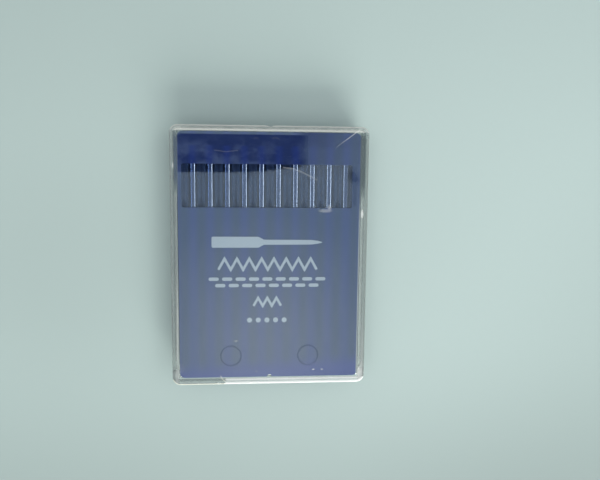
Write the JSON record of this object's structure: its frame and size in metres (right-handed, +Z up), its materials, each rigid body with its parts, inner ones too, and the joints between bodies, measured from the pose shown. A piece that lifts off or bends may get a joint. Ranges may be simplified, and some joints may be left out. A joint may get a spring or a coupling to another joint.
{
  "type": "sewing machine needle pack",
  "caption": "Flat clear pack of round-shank sewing machine needles, each in its own channel under a hinged lid with a blue windowed insert.",
  "frame": {"origin": "middle of the closed pack's footprint, on the surface that it lies on", "axes": "+Y along the needles towards their butts, +Z up through the lid, +X across the pack to the right as it is read"},
  "size_m": [0.048, 0.064, 0.0055],
  "materials": {
    "clear_case": "clear hard polystyrene, polished, with fine scratches",
    "blue_insert": "translucent blue film, satin",
    "bed_plastic": "moulded blue-grey polypropylene, satin",
    "needle_steel": "hardened steel, polished and plated"
  },
  "bodies": {
    "tray": {"case_tray": "clear_case", "needle_bed": "bed_plastic", "needle_01": "needle_steel", "needle_02": "needle_steel", "needle_03": "needle_steel", "needle_04": "needle_steel", "needle_05": "needle_steel", "needle_06": "needle_steel", "needle_07": "needle_steel", "needle_08": "needle_steel", "needle_09": "needle_steel", "needle_10": "needle_steel"},
    "lid": {"case_lid": "clear_case", "label_insert": "blue_insert"}
  },
  "joints": [
    {"name": "lid_hinge", "type": "hinge", "parent": "tray", "child": "lid", "pos_m": [0, -0.0294, 0.00275], "axis": [1, 0, 0], "range_deg": [0, 90]}
  ]
}
